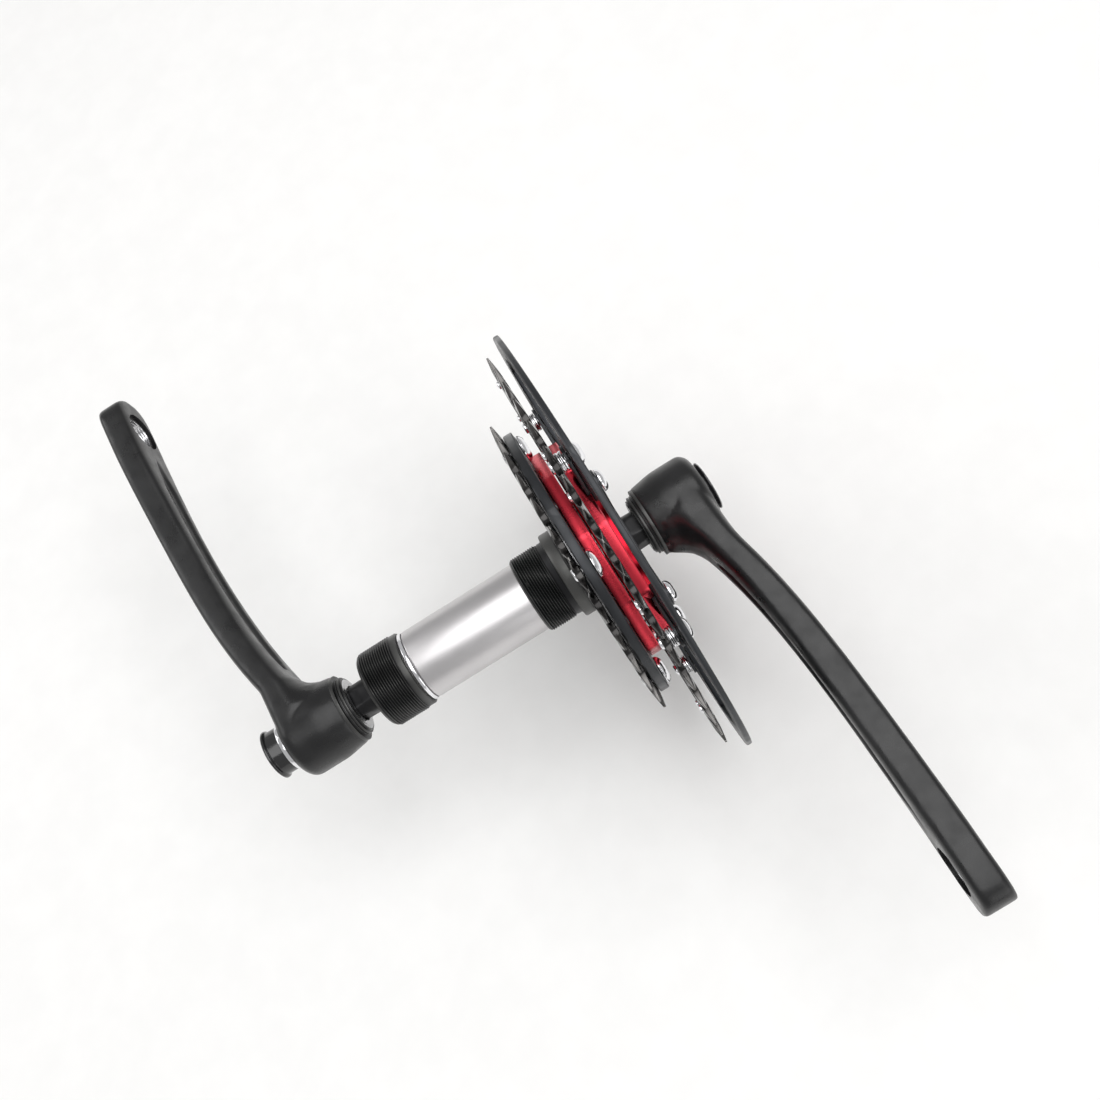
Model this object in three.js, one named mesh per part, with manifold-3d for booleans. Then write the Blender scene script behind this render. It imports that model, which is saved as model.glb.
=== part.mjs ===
// Bicycle crankset with a cartridge bottom bracket and a freewheeling double chainring set.
// Units are millimetres. X runs along the spindle towards the drive side, Z is up, and the cranks
// are level: the drive-side crank points to -Y and the other to +Y. The origin is on the spindle
// axis, in the plane where the drive-side cup's flange seats on the frame.
import * as THREE from 'three';
import { mergeVertices } from 'three/addons/utils/BufferGeometryUtils.js';
import Module from 'manifold-3d';

const wasm = await Module();
wasm.setup();

// ---------------------------------------------------------------- driving dimensions
const gap = 0.3; // running or assembly clearance between touching pieces
const fullTurn = 2 * Math.PI;
const degree = Math.PI / 180;
const chainPitch = 12.7;

const spindleRadius = 8.0;
const spindleLeftEnd = -122;
const spindleRightEnd = 60;
const taperAcrossFlats = 14.4; // at the wide end of the square taper
const taperEndAcrossFlats = 12.9;
const taperRunOut = 4; // how far the flats reach out of the crank boss
const boltBoreRadius = 4;
const boltBoreDepth = 24;
const threadCoreRadius = 16.9; // shell thread, 34.8 mm over its crests
const threadCrestRadius = 17.4;
const threadRidgeSpacing = 3.6;
const sleeveRadius = 15.6;
const sleeveBore = 13.6;
const bearingSeatRadius = 14.7;
const bearingWidth = 7;
const ballPathRadius = 11.5;
const ballTrackReach = 2.15;
const cupSegments = 26;

const driveCup = { threadStart: -15.6, threadEnd: -2.7, neckRadius: 16.6 };
const driveFlange = { radius: 19.5, end: 5.5 };
const sealLipRadius = 12;
const leftCup = { outerEnd: -91.3, threadEnd: -75, innerEnd: -72 };
const driveBearingStart = -9.7;
const leftBearingStart = -83.3;

const pedalDistance = 175; // crank length, spindle axis to pedal axis
const armThickness = 13.4;
const bossRadius = 17.3;
const collarRadius = 13.5;
const collarLength = 4;
const armTipBeyondPedal = 18;
const eyeFlatStart = 160; // past here the pedal eye's faces are flat
const eyeHalfWidth = 13.5;
const waistHalfWidth = 10.5;
const pedalBoreRadius = 7.15;
const pedalRecessRadius = 9.8;
const rightCollarEnd = 38.4;
const leftCollarEnd = -100.5;
const rightBend = { bossLength: 27.6, rootOffset: 23, eyeOffset: 34.4, bendLength: 38, rootDistance: 24 };

const leftBend = { bossLength: 28.6, rootOffset: 28.4, eyeOffset: 42.8, bendLength: 50, rootDistance: 30 };

const rightBossFace = rightCollarEnd + collarLength + rightBend.bossLength;
const leftBossFace = leftCollarEnd - collarLength - leftBend.bossLength;
const groove = { start: 31, end: 152, halfWidth: 4.2, depth: 1.8 };
const capSeatDepth = 4;
const capRadius = 10.4;
const rightCap = { stand: 2.2, lip: 1 };
const leftCap = { stand: 9.6, lip: 1.4 };
const boltHeadRadius = 8.2;

const spokeCount = 5;
const spokeAngle = 76.6 * degree; // first guard spoke, from +Y towards +Z
const carrierBoltAngle = 112.4 * degree;
const hubFacetAngle = 100.2 * degree; // one corner of the ten-sided hub plates

const ring32 = { teeth: 32, middle: 8.1, thickness: 2.8, bore: 56.5 };
const ring44 = { teeth: 44, middle: 21.7, thickness: 2.6, bore: 77 };
const carrier = { left: 10, right: 14, radius: 62, boltCircle: 55 };
const hubPlate = { cornerRadius: 49, innerLeft: 14.3, innerRight: 19.6, outerLeft: 23.3, outerRight: 27.6 };
const hubBossRadius = 28;
const hubBossRight = 30.2;
const guard = { left: 27.9, right: 30.2, radius: 98, rimWidth: 10 };
const outerPlate = { left: 30.5, right: 32.9, radius: 31, bore: 15.2 };
const tab = { left: 26.3, right: 27.6, endRadius: 5.4 };
const hubBoltCircle = 43;
const guardBoltCircle = 65;
const spokeHalfWidth = 6.5;
const boltHoleRadius = 2.8;

const ratchet = { left: 10.2, right: 30.2, radius: 24, rootRadius: 21.4, tipRadius: 19.9, teeth: 24 };
const driver = { left: 8.2, right: 32.4, bore: 8.3, radius: 14, pawlRadius: 19.3 };
const toothFaceAngle = 8.5 * degree; // turns the ratchet so that a tooth face meets each pawl's nose
const pawlCount = 3;
const pawlRow = { left: 16.4, right: 24.4 };
const pawlPivotRadius = 16.4;
const pawlFoldAngle = 14; // degrees from touching the teeth to folded; the pawls are placed folded
const ratchetBallRadius = 2.0;
const ratchetBallPath = 17.7;
const leftBallRow = 13.6;
const rightBallRow = 27.4;

// ---------------------------------------------------------------- materials
const finish = (color, roughness, metalness) =>
  new THREE.MeshStandardMaterial({ color, roughness, metalness });
const blackPaint = finish(0x232425, 0.45, 0.1);
const blackSteel = finish(0x2b2c2e, 0.5, 0.6);
const blackAnodised = finish(0x26292d, 0.4, 0.5);
const redAnodised = finish(0xc8101e, 0.35, 0.7);
const chrome = finish(0xd8dadd, 0.12, 1.0);
const darkChrome = finish(0x6c6a68, 0.2, 1.0);
const satinAluminium = finish(0xe2e0e0, 0.35, 0.9);
const bearingSteel = finish(0xb8babd, 0.25, 1.0);
const sealRubber = finish(0x1c1c1c, 0.8, 0.0);

// ---------------------------------------------------------------- solids
// A closed geometry as a manifold solid, turned right side out when it is inside out.
function solid(geometry) {
  const bare = geometry.clone();
  bare.deleteAttribute('normal');
  bare.deleteAttribute('uv');
  const merged = mergeVertices(bare, 1e-4);
  const points = new Float32Array(merged.attributes.position.array);
  const corners = new Uint32Array(merged.index.array);
  const build = () =>
    new wasm.Manifold(new wasm.Mesh({ numProp: 3, vertProperties: points, triVerts: corners }));
  const first = build();
  if (first.volume() > 0) return first;
  for (let i = 0; i < corners.length; i += 3) {
    const swapped = corners[i];
    corners[i] = corners[i + 1];
    corners[i + 1] = swapped;
  }
  return build();
}

function geometryOf(body) {
  const mesh = body.getMesh();
  const geometry = new THREE.BufferGeometry();
  const points = new Float32Array(mesh.vertProperties);
  geometry.setAttribute('position', new THREE.BufferAttribute(points, 3));
  geometry.setIndex(new THREE.BufferAttribute(new Uint32Array(mesh.triVerts), 1));
  geometry.computeVertexNormals();
  return geometry;
}

// Joins every solid in a list into one.
const union = (bodies) => bodies.reduce((whole, body) => whole.add(body));
// Cuts every solid in a list out of a body.
const cut = (body, tools) => tools.reduce((rest, tool) => rest.subtract(tool), body);
// Repeats what make(angle, index) returns at equal steps round the spindle axis.
const ringOf = (count, firstAngle, make) =>
  Array.from({ length: count }, (_, i) => make(firstAngle + (fullTurn * i) / count, i));

// Places from one value to another in equal steps, both ends included.
const evenSteps = (from, to, steps) =>
  Array.from({ length: steps + 1 }, (_, i) => from + ((to - from) * i) / steps);

// A profile of [x, radius] points turned round the spindle axis. With closed set it is a ring.
function turned(profile, segments, closed = true) {
  const points = profile.map(([x, radius]) => new THREE.Vector2(radius, x));
  if (closed) points.push(points[0].clone());
  return solid(new THREE.LatheGeometry(points, segments).rotateZ(-Math.PI / 2));
}

const ring = (left, right, inner, outer, segments = 28) =>
  turned([[left, inner], [left, outer], [right, outer], [right, inner]], segments);

// A round bar along the spindle direction, its middle line at (y, z).
function bar(left, right, radius, segments = 16, y = 0, z = 0) {
  const rod = new THREE.CylinderGeometry(radius, radius, right - left, segments);
  rod.rotateZ(-Math.PI / 2).translate((left + right) / 2, y, z);
  return solid(rod);
}

// An outline in the YZ plane as a plate from x = left to x = right.
function plate(shape, left, right, curveSegments = 12) {
  const depth = right - left;
  const slab = new THREE.ExtrudeGeometry(shape, { depth, bevelEnabled: false, curveSegments });
  const turn = new THREE.Matrix4().makeBasis(
    new THREE.Vector3(0, 1, 0),
    new THREE.Vector3(0, 0, 1),
    new THREE.Vector3(1, 0, 0),
  );
  return solid(slab.applyMatrix4(turn).translate(left, 0, 0));
}

const polar = (radius, angle) => new THREE.Vector2(radius * Math.cos(angle), radius * Math.sin(angle));

// A bar along the spindle direction at a radius and angle from the axis.
function pinAt(left, right, pinRadius, circle, angle, segments = 10) {
  const { x, y } = polar(circle, angle);
  return bar(left, right, pinRadius, segments, x, y);
}

// A link in the YZ plane with round ends, lying along a radius.
function stadium(innerRadius, outerRadius, endRadius, angle) {
  const shape = new THREE.Shape();
  const from = polar(innerRadius, angle);
  const to = polar(outerRadius, angle);
  shape.absarc(to.x, to.y, endRadius, angle - Math.PI / 2, angle + Math.PI / 2, false);
  shape.absarc(from.x, from.y, endRadius, angle + Math.PI / 2, angle + 1.5 * Math.PI, false);
  return shape;
}

const group = new THREE.Group();
group.name = 'crankset';

function addPart(name, body, material) {
  const mesh = new THREE.Mesh(geometryOf(body), material);
  mesh.name = name;
  group.add(mesh);
}

// ---------------------------------------------------------------- bottom bracket
// Evenly spaced ridges stand for the shell thread.
function threadRidges(start, end) {
  const count = Math.floor((end - start) / threadRidgeSpacing);
  const step = (end - start) / count;
  const points = [];
  for (let i = 0; i < count; i++) {
    points.push([start + i * step, threadCoreRadius]);
    points.push([start + (i + 0.5) * step, threadCrestRadius]);
  }
  points.push([end, threadCoreRadius]);
  return points;
}

function makeDriveCup() {
  const { threadStart, threadEnd, neckRadius } = driveCup;
  const bore = sleeveRadius + gap;
  return turned([
    [threadStart, bore],
    ...threadRidges(threadStart, threadEnd),
    [threadEnd, neckRadius],
    [0, neckRadius],
    [0, driveFlange.radius],
    [driveFlange.end, driveFlange.radius],
    [driveFlange.end, sealLipRadius],
    [-1.7, sealLipRadius],
    [-1.7, bore],
  ], cupSegments);
}

function makeLeftCup() {
  const { outerEnd, threadEnd, innerEnd } = leftCup;
  const bore = sleeveRadius - gap;
  const shoulder = leftBearingStart - 1;
  return turned([
    [outerEnd, sealLipRadius],
    [outerEnd, threadCoreRadius - 0.8],
    ...threadRidges(outerEnd + 1, threadEnd),
    [innerEnd, threadCoreRadius],
    [innerEnd, bore],
    [shoulder, bore],
    [shoulder, sealLipRadius],
  ], cupSegments);
}

function makeSleeve() {
  const left = leftBearingStart - 0.7;
  const right = driveBearingStart + bearingWidth + 0.7;
  const slim = sleeveRadius - 0.6;
  const leftSeatEnd = leftBearingStart + bearingWidth;
  return turned([
    [left, bearingSeatRadius],
    [left, slim],
    [-69.6, slim],
    [-69.6, sleeveRadius],
    [right, sleeveRadius],
    [right, bearingSeatRadius],
    [driveBearingStart - gap, bearingSeatRadius],
    [driveBearingStart - gap, sleeveBore],
    [leftSeatEnd + gap, sleeveBore],
    [leftSeatEnd + gap, bearingSeatRadius],
  ], cupSegments);
}

// A bearing race is a ring with a ball track turned into the side that faces the balls.
function bearingRace(start, inner, outer, trackOutside) {
  const end = start + bearingWidth;
  const middle = start + bearingWidth / 2;
  const trackHalfWidth = 1.8;
  const trackRadius = ballPathRadius + (trackOutside ? -ballTrackReach : ballTrackReach);
  const face = trackOutside ? outer : inner;
  const track = [
    [middle - trackHalfWidth, face],
    [middle - 0.8, trackRadius],
    [middle + 0.8, trackRadius],
    [middle + trackHalfWidth, face],
  ];
  const profile = trackOutside
    ? [[start, inner], [start, outer], ...track, [end, outer], [end, inner]]
    : [[start, inner], [start, outer], [end, outer], [end, inner], ...track.reverse()];
  return turned(profile, 20);
}

// Balls held in a thin cage, as one solid.
function ballCage(middle, pathRadius, ballRadius, count, cageHalfWidth) {
  const left = middle - cageHalfWidth;
  const cage = ring(left, middle + cageHalfWidth, pathRadius - 0.5, pathRadius + 0.5, 16);
  const balls = ringOf(count, 0, (angle) => {
    const { x, y } = polar(pathRadius, angle);
    return solid(new THREE.SphereGeometry(ballRadius, 6, 3).translate(middle, x, y));
  });
  return union([cage, ...balls]);
}

function addBottomBracket() {
  addPart('drive_side_cup', makeDriveCup(), blackSteel);
  addPart('left_cup', makeLeftCup(), blackSteel);
  addPart('cartridge_sleeve', makeSleeve(), satinAluminium);
  addPart('sleeve_retaining_ring', ring(-71.7, -69.9, sleeveRadius - 0.3, sleeveRadius + 0.2), chrome);
  for (const [side, start] of [['drive', driveBearingStart], ['left', leftBearingStart]]) {
    const inner = spindleRadius + gap;
    const outer = bearingSeatRadius - gap;
    addPart(`${side}_bearing_outer_race`, bearingRace(start, 12.6, outer, false), bearingSteel);
    addPart(`${side}_bearing_inner_race`, bearingRace(start, inner, 10.4, true), bearingSteel);
    const balls = ballCage(start + bearingWidth / 2, ballPathRadius, 1.9, 7, 1.6);
    addPart(`${side}_bearing_balls`, balls, bearingSteel);
  }
  addPart('drive_bearing_seal', ring(-1.2, 2.6, spindleRadius + gap, 11.7, 20), sealRubber);
  addPart('left_bearing_seal', ring(-90.2, -86.2, spindleRadius + gap, 11.7, 20), sealRubber);
}

// ---------------------------------------------------------------- spindle and cranks
// A square bar along the spindle that narrows from start to end.
function squareTaper(start, end, startFlats, endFlats) {
  const corner = Math.SQRT1_2;
  const length = Math.abs(end - start);
  const taper = new THREE.CylinderGeometry(endFlats * corner, startFlats * corner, length, 4);
  taper.rotateY(Math.PI / 4).rotateZ(end > start ? -Math.PI / 2 : Math.PI / 2);
  return solid(taper.translate((start + end) / 2, 0, 0));
}

function makeSpindle() {
  const flatsRight = rightCollarEnd - taperRunOut;
  const flatsLeft = leftCollarEnd + taperRunOut;
  const round = bar(flatsLeft, flatsRight, spindleRadius, 32);
  const shaft = bar(spindleLeftEnd, spindleRightEnd, spindleRadius, 32);
  const right = squareTaper(flatsRight - 0.1, spindleRightEnd, taperAcrossFlats, taperEndAcrossFlats);
  const left = squareTaper(flatsLeft + 0.1, spindleLeftEnd, taperAcrossFlats, taperEndAcrossFlats);
  return cut(union([round, shaft.intersect(right), shaft.intersect(left)]), [
    bar(spindleRightEnd - boltBoreDepth, spindleRightEnd + 1, boltBoreRadius, 16),
    bar(spindleLeftEnd - 1, spindleLeftEnd + boltBoreDepth, boltBoreRadius, 16),
  ]);
}

// The middle line of an arm leaves the boss and bends outwards, then runs straight to the pedal eye.
// Behind the boss and round the eye its offset stays the same.
function armOffset(distance, { rootOffset, eyeOffset, bendLength, rootDistance }) {
  const along = Math.min(Math.max(distance, rootDistance - 8), eyeFlatStart);
  return eyeOffset - (eyeOffset - rootOffset) * Math.exp(-(along - rootDistance) / bendLength);
}

// Side view of the arm in the XY plane, as a thick curve from the boss to past the pedal eye.
function armSideOutline(bend) {
  const stations = [...evenSteps(0, eyeFlatStart, 8), pedalDistance + armTipBeyondPedal];
  const offsetAt = (distance) => armOffset(distance, bend);
  const rootOuter = collarLength + bend.bossLength - 0.8;
  const outerAt = (distance) => Math.max(offsetAt(distance) + armThickness / 2, rootOuter);
  const outer = stations.map((y) => new THREE.Vector2(outerAt(y), -y));
  const inner = stations.map((y) => new THREE.Vector2(offsetAt(y) - armThickness / 2, -y));
  return new THREE.Shape([...outer, ...inner.reverse()]);
}

// Face view of the arm: wide at the boss, narrow at the waist, round at the pedal eye.
function armFaceOutline() {
  const shape = new THREE.Shape();
  const tipCentre = pedalDistance + armTipBeyondPedal - eyeHalfWidth;
  shape.moveTo(-bossRadius, 0);
  shape.bezierCurveTo(-bossRadius, -45, -waistHalfWidth, -50, -waistHalfWidth, -105);
  shape.bezierCurveTo(-waistHalfWidth, -135, -eyeHalfWidth, -145, -eyeHalfWidth, -tipCentre);
  shape.absarc(0, -tipCentre, eyeHalfWidth, Math.PI, 2 * Math.PI, false);
  shape.bezierCurveTo(eyeHalfWidth, -145, waistHalfWidth, -135, waistHalfWidth, -105);
  shape.bezierCurveTo(waistHalfWidth, -50, bossRadius, -45, bossRadius, 0);
  return shape;
}

// A crank arm that points to -Y, with its collar's inner end at x = 0 and its outside at +X.
function crankArm(bend) {
  const bossStart = collarLength;
  const bossEnd = bossStart + bend.bossLength;
  const sideWall = { depth: 2 * bossRadius, bevelEnabled: false };
  const side = new THREE.ExtrudeGeometry(armSideOutline(bend), sideWall);
  const sideSolid = solid(side.translate(0, 0, -bossRadius));
  const faceWall = { depth: 80, bevelEnabled: false, curveSegments: 5 };
  const face = new THREE.ExtrudeGeometry(armFaceOutline(), faceWall);
  const faceTurn = new THREE.Matrix4().makeBasis(
    new THREE.Vector3(0, 0, 1),
    new THREE.Vector3(0, 1, 0),
    new THREE.Vector3(1, 0, 0),
  );
  const faceSolid = solid(face.applyMatrix4(faceTurn).translate(-10, 0, 0));
  const boss = turned([
    [0, 0],
    [0, collarRadius - 1],
    [1.4, collarRadius - 1],
    [1.4, collarRadius],
    [bossStart, collarRadius],
    [bossStart, bossRadius - 1.8],
    [bossStart + 11, bossRadius],
    [bossEnd - 3, bossRadius],
    [bossEnd, bossRadius - 3],
    [bossEnd, 0],
  ], 28, false);
  const arm = sideSolid.intersect(faceSolid).add(boss);
  const eyeOffset = armOffset(pedalDistance, bend);
  const eyeInner = eyeOffset - armThickness / 2;
  const recess = bar(eyeInner - 5, eyeInner + 1.6, pedalRecessRadius, 16, -pedalDistance, 0);
  const bore = bar(eyeInner - 5, eyeInner + armThickness + 5, pedalBoreRadius, 16, -pedalDistance, 0);
  return cut(arm, [recess, bore, crankGroove(bend)]);
}

// A long shallow groove along the inner face of the arm.
function crankGroove(bend) {
  const { start, end, halfWidth, depth } = groove;
  const face = (distance) => armOffset(distance, bend) - armThickness / 2;
  const stations = evenSteps(start, end, 8);
  const floor = stations.map((y) => new THREE.Vector2(face(y) + depth, -y));
  const open = stations.map((y) => new THREE.Vector2(face(y) - 6, -y));
  const outline = new THREE.Shape([...floor, ...open.reverse()]);
  const slab = new THREE.ExtrudeGeometry(outline, { depth: 2 * halfWidth, bevelEnabled: false });
  return solid(slab.translate(0, 0, -halfWidth));
}

// What the boss is hollowed with: the square hole, the bolt's counterbore and the cap's seat.
function bossHollow(taperStart, taperEnd, outerFace) {
  const clearance = 2 * gap;
  const socket = squareTaper(
    taperStart,
    taperEnd,
    flatsAt(taperStart) + clearance,
    flatsAt(taperEnd) + clearance,
  );
  const outward = Math.sign(taperEnd - taperStart);
  const seat = outerFace - outward * capSeatDepth;
  const floor = taperEnd - outward * 0.5;
  const counterbore = bar(Math.min(floor, seat), Math.max(floor, seat), boltHeadRadius + gap, 24);
  const past = outerFace + outward * 2;
  const capBore = bar(Math.min(seat, past), Math.max(seat, past), capRadius + gap, 24);
  return union([socket, counterbore.add(capBore)]);
}

// Width of the spindle's square at a place along the axis, on the line of the taper that is nearer.
function flatsAt(x) {
  const [start, end] = x > 0
    ? [rightCollarEnd - taperRunOut, spindleRightEnd]
    : [leftCollarEnd + taperRunOut, spindleLeftEnd];
  return taperAcrossFlats + ((taperEndAcrossFlats - taperAcrossFlats) * (x - start)) / (end - start);
}

function place(body, x, halfTurn) {
  return (halfTurn ? body.rotate([0, 0, 180]) : body).translate([x, 0, 0]);
}

function crankBolt(spindleEnd, outward) {
  const at = (offset) => spindleEnd + outward * offset;
  const between = (a, b, radius, segments) =>
    bar(Math.min(at(a), at(b)), Math.max(at(a), at(b)), radius, segments);
  const shank = between(-20, 2.2, boltBoreRadius - gap, 16);
  const flange = between(1.2, 2.6, boltHeadRadius, 24);
  const head = between(2.6, 5.4, 6.2, 24);
  const hexHole = between(3.2, 6, 4, 6);
  return union([shank, flange, head]).subtract(hexHole);
}

function dustCap(face, outward, { stand, lip }) {
  const x = (offset) => face + outward * offset;
  const capDepth = capSeatDepth - gap;
  const profile = [
    [x(-capDepth), 0],
    [x(-capDepth), capRadius],
    [x(stand - lip), capRadius],
    [x(stand - lip), capRadius + 0.7],
    [x(stand), capRadius + 0.5],
    [x(stand), 0],
  ];
  const mouth = x(-capDepth - 1);
  const hollow = bar(Math.min(mouth, x(0)), Math.max(mouth, x(0)), capRadius - 1.6, 24);
  return turned(profile, 20, false).subtract(hollow);
}

function addCranks() {
  addPart('spindle', makeSpindle(), blackSteel);
  const rightArm = place(crankArm(rightBend), rightCollarEnd, false);
  const leftArm = place(crankArm(leftBend), leftCollarEnd, true);
  const rightHollow = bossHollow(rightCollarEnd - 1, spindleRightEnd + 1.2, rightBossFace);
  const leftHollow = bossHollow(leftCollarEnd + 1, spindleLeftEnd - 1.2, leftBossFace);
  addPart('right_crank_arm', rightArm.subtract(rightHollow), blackPaint);
  addPart('left_crank_arm', leftArm.subtract(leftHollow), blackPaint);
  addPart('right_crank_bolt', crankBolt(spindleRightEnd, 1), bearingSteel);
  addPart('left_crank_bolt', crankBolt(spindleLeftEnd, -1), bearingSteel);
  addPart('right_dust_cap', dustCap(rightBossFace, 1, rightCap), blackAnodised);
  addPart('left_dust_cap', dustCap(leftBossFace, -1, leftCap), blackAnodised);
}

// ---------------------------------------------------------------- freewheel
// Saw-shaped inner teeth: each rises along a ramp and falls back at a radial face.
function ratchetHole() {
  const { teeth, rootRadius, tipRadius } = ratchet;
  const corners = ringOf(teeth, toothFaceAngle, (angle) => [
    polar(tipRadius, angle),
    polar(rootRadius, angle + 0.02),
    polar((rootRadius + tipRadius) / 2 + 0.1, angle + (fullTurn / teeth) * 0.5),
  ]);
  return new THREE.Shape(corners.flat());
}

function makeRatchetBody() {
  const { left, right, radius, rootRadius } = ratchet;
  const wall = ring(left, right, rootRadius - 0.9, radius, 28);
  const flange = ring(left - 2.8, left - gap, 17, 33, 28);
  const neck = ring(left - 1, left + 1, 17, radius, 28);
  const toothBand = bar(pawlRow.left - 0.8, pawlRow.right + 0.8, radius - 0.8, 28);
  const toothHole = plate(ratchetHole(), pawlRow.left - 1.4, pawlRow.right + 1.4);
  return union([wall, flange, neck, toothBand.subtract(toothHole)]);
}

// A pawl in the YZ plane: a round heel in the driver's pocket and a nose that meets a ratchet tooth.
function pawlOutline() {
  const noseAngle = 19 * degree;
  const heel = polar(pawlPivotRadius, 0);
  const shape = new THREE.Shape();
  const nose = polar(ratchet.tipRadius + 0.5, noseAngle);
  const noseFoot = polar(ratchet.tipRadius - 1.7, noseAngle + 0.03);
  shape.absarc(heel.x, heel.y, 1.5, Math.PI, 1.9 * Math.PI, false);
  shape.lineTo(nose.x, nose.y);
  shape.lineTo(noseFoot.x, noseFoot.y);
  return shape;
}

// The pocket is wide enough for the pawl to fold in.
function pawlPocket() {
  const heel = polar(pawlPivotRadius, 0);
  const shape = new THREE.Shape();
  const far = polar(driver.pawlRadius + 2, 27 * degree);
  const near = polar(15.2, 27 * degree);
  shape.absarc(heel.x, heel.y, 1.85, 0.9 * Math.PI, 1.9 * Math.PI, false);
  shape.lineTo(heel.x + 6, heel.y - 0.5);
  shape.lineTo(far.x, far.y);
  shape.lineTo(near.x, near.y);
  return shape;
}

// The pawls point the way that the crank drives, which is the negative way round X.
const trailing = (body) => body.mirror([0, 0, 1]);
const folded = (pawl) =>
  pawl.translate([0, -pawlPivotRadius, 0]).rotate([-pawlFoldAngle, 0, 0]).translate([0, pawlPivotRadius, 0]);
const turnedRound = (body, angle) => body.rotate([angle / degree, 0, 0]);
const pawlAngle = (index) => (fullTurn * index) / pawlCount;

function makeDriver() {
  const { left, right, bore, radius, pawlRadius } = driver;
  const body = turned([
    [left, bore],
    [left, radius],
    [pawlRow.left - 0.6, radius],
    [pawlRow.left - 0.6, pawlRadius],
    [pawlRow.right + 0.6, pawlRadius],
    [pawlRow.right + 0.6, radius],
    [right, radius],
    [right, bore],
  ], 28);
  const pocket = trailing(plate(pawlPocket(), pawlRow.left - gap, pawlRow.right + gap));
  const springGroove = ring(19.7, 21.1, 17.9, 22, 24);
  return cut(body, [springGroove, ...ringOf(pawlCount, 0, (angle) => turnedRound(pocket, angle))]);
}

function addFreewheel() {
  addPart('freewheel_driver', makeDriver(), blackSteel);
  addPart('pawl_ring_spring', ring(20.1, 20.7, 18.1, 18.7, 20), bearingSteel);
  const springPath = ring(19.4, 21.4, 17.6, 22, 24);
  const engaged = trailing(plate(pawlOutline(), pawlRow.left, pawlRow.right, 6));
  const pawl = folded(engaged.subtract(springPath));
  for (let i = 0; i < pawlCount; i++) {
    addPart(`pawl_${i + 1}`, turnedRound(pawl, pawlAngle(i)), bearingSteel);
  }
  addPart('freewheel_ratchet_body', makeRatchetBody(), bearingSteel);
  for (const [side, middle] of [['left', leftBallRow], ['right', rightBallRow]]) {
    const balls = ballCage(middle, ratchetBallPath, ratchetBallRadius, 7, 1);
    addPart(`freewheel_${side}_balls`, balls, bearingSteel);
  }
}

// ---------------------------------------------------------------- chainring set
// Chain tooth outline: each tooth rises from a rounded seat to a narrow tip.
function toothedOutline(teeth) {
  const pitchRadius = chainPitch / (2 * Math.sin(Math.PI / teeth));
  const rootRadius = pitchRadius - 3.9;
  const tipRadius = pitchRadius + 3.6;
  const step = fullTurn / teeth;
  const corners = ringOf(teeth, carrierBoltAngle, (angle) => [
    polar(rootRadius, angle - 0.16 * step),
    polar(rootRadius, angle + 0.16 * step),
    polar(tipRadius, angle + 0.5 * step),
  ]);
  return new THREE.Shape(corners.flat());
}

const disc = (radius, left, right, segments = 40) => bar(left, right, radius, segments);
const spokes = (make) => ringOf(spokeCount, spokeAngle, make);
// Five round holes on a circle, from one face of a plate to the other.
const boltHoles = (left, right, radius, circle, firstAngle = spokeAngle) =>
  ringOf(spokeCount, firstAngle, (angle) => pinAt(left, right, radius, circle, angle, 6));
// A plate of the shape that stadium() draws.
const strap = (from, to, endRadius, angle, left, right) =>
  plate(stadium(from, to, endRadius, angle), left, right, 4);

function chainring({ teeth, middle, thickness, bore }, boltCircle, firstAngle, lugReach) {
  const left = middle - thickness / 2;
  const right = middle + thickness / 2;
  const blank = plate(toothedOutline(teeth), left, right).subtract(disc(bore, left - 1, right + 1));
  const lugs = ringOf(spokeCount, firstAngle, (angle) =>
    strap(boltCircle, bore + 3, lugReach, angle, left, right));
  return cut(union([blank, ...lugs]), boltHoles(left - 1, right + 1, 3.3, boltCircle, firstAngle));
}

function makeCarrierRing() {
  const { left, right, radius, boltCircle } = carrier;
  const blank = ring(left, right, ratchet.radius + gap, radius, 44);
  const throughHoles = boltHoles(left - 1, right + 1, boltHoleRadius, boltCircle, carrierBoltAngle);
  const blindHoles = boltHoles(left + 0.8, right + 1, boltHoleRadius, hubBoltCircle);
  return cut(blank, [...throughHoles, ...blindHoles]);
}

// A ten-sided plate of the red hub.
function decagonPlate(left, right) {
  const corners = ringOf(2 * spokeCount, hubFacetAngle, (angle) => polar(hubPlate.cornerRadius, angle));
  return plate(new THREE.Shape(corners), left, right);
}

const hubBoltHoles = (left, right) => boltHoles(left, right, boltHoleRadius, hubBoltCircle);

function makeInnerHub() {
  const { innerLeft, innerRight } = hubPlate;
  const bore = disc(ratchet.radius + gap, innerLeft - 1, innerRight + 1, 28);
  return cut(decagonPlate(innerLeft, innerRight), [bore, ...hubBoltHoles(innerLeft - 1, innerRight + 1)]);
}

function makeOuterHub() {
  const left = hubPlate.innerRight + gap;
  const boss = ring(left, hubBossRight, ratchet.radius + gap, hubBossRadius, 28);
  const bore = disc(ratchet.radius + gap, left - 1, hubBossRight + 1, 28);
  const flat = decagonPlate(hubPlate.outerLeft, hubPlate.outerRight);
  const tabSlots = spokes((angle) =>
    strap(hubBoltCircle, guardBoltCircle, tab.endRadius + gap, angle, tab.left - gap, tab.right + 1));
  const body = boss.add(cut(flat, [bore, ...tabSlots]));
  return cut(body, hubBoltHoles(left, hubPlate.outerRight + 1));
}

function makeGuardRing() {
  const { left, right, radius, rimWidth } = guard;
  const rim = ring(left, right, radius - rimWidth, radius, 56);
  const reach = radius - rimWidth + 2;
  const arms = spokes((angle) => strap(hubBoltCircle, reach, spokeHalfWidth, angle, left, right));
  const holes = [hubBoltCircle, guardBoltCircle].flatMap((circle) =>
    boltHoles(left - 1, right + 1, boltHoleRadius, circle));
  return cut(union([rim, ...arms]), holes);
}

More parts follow.
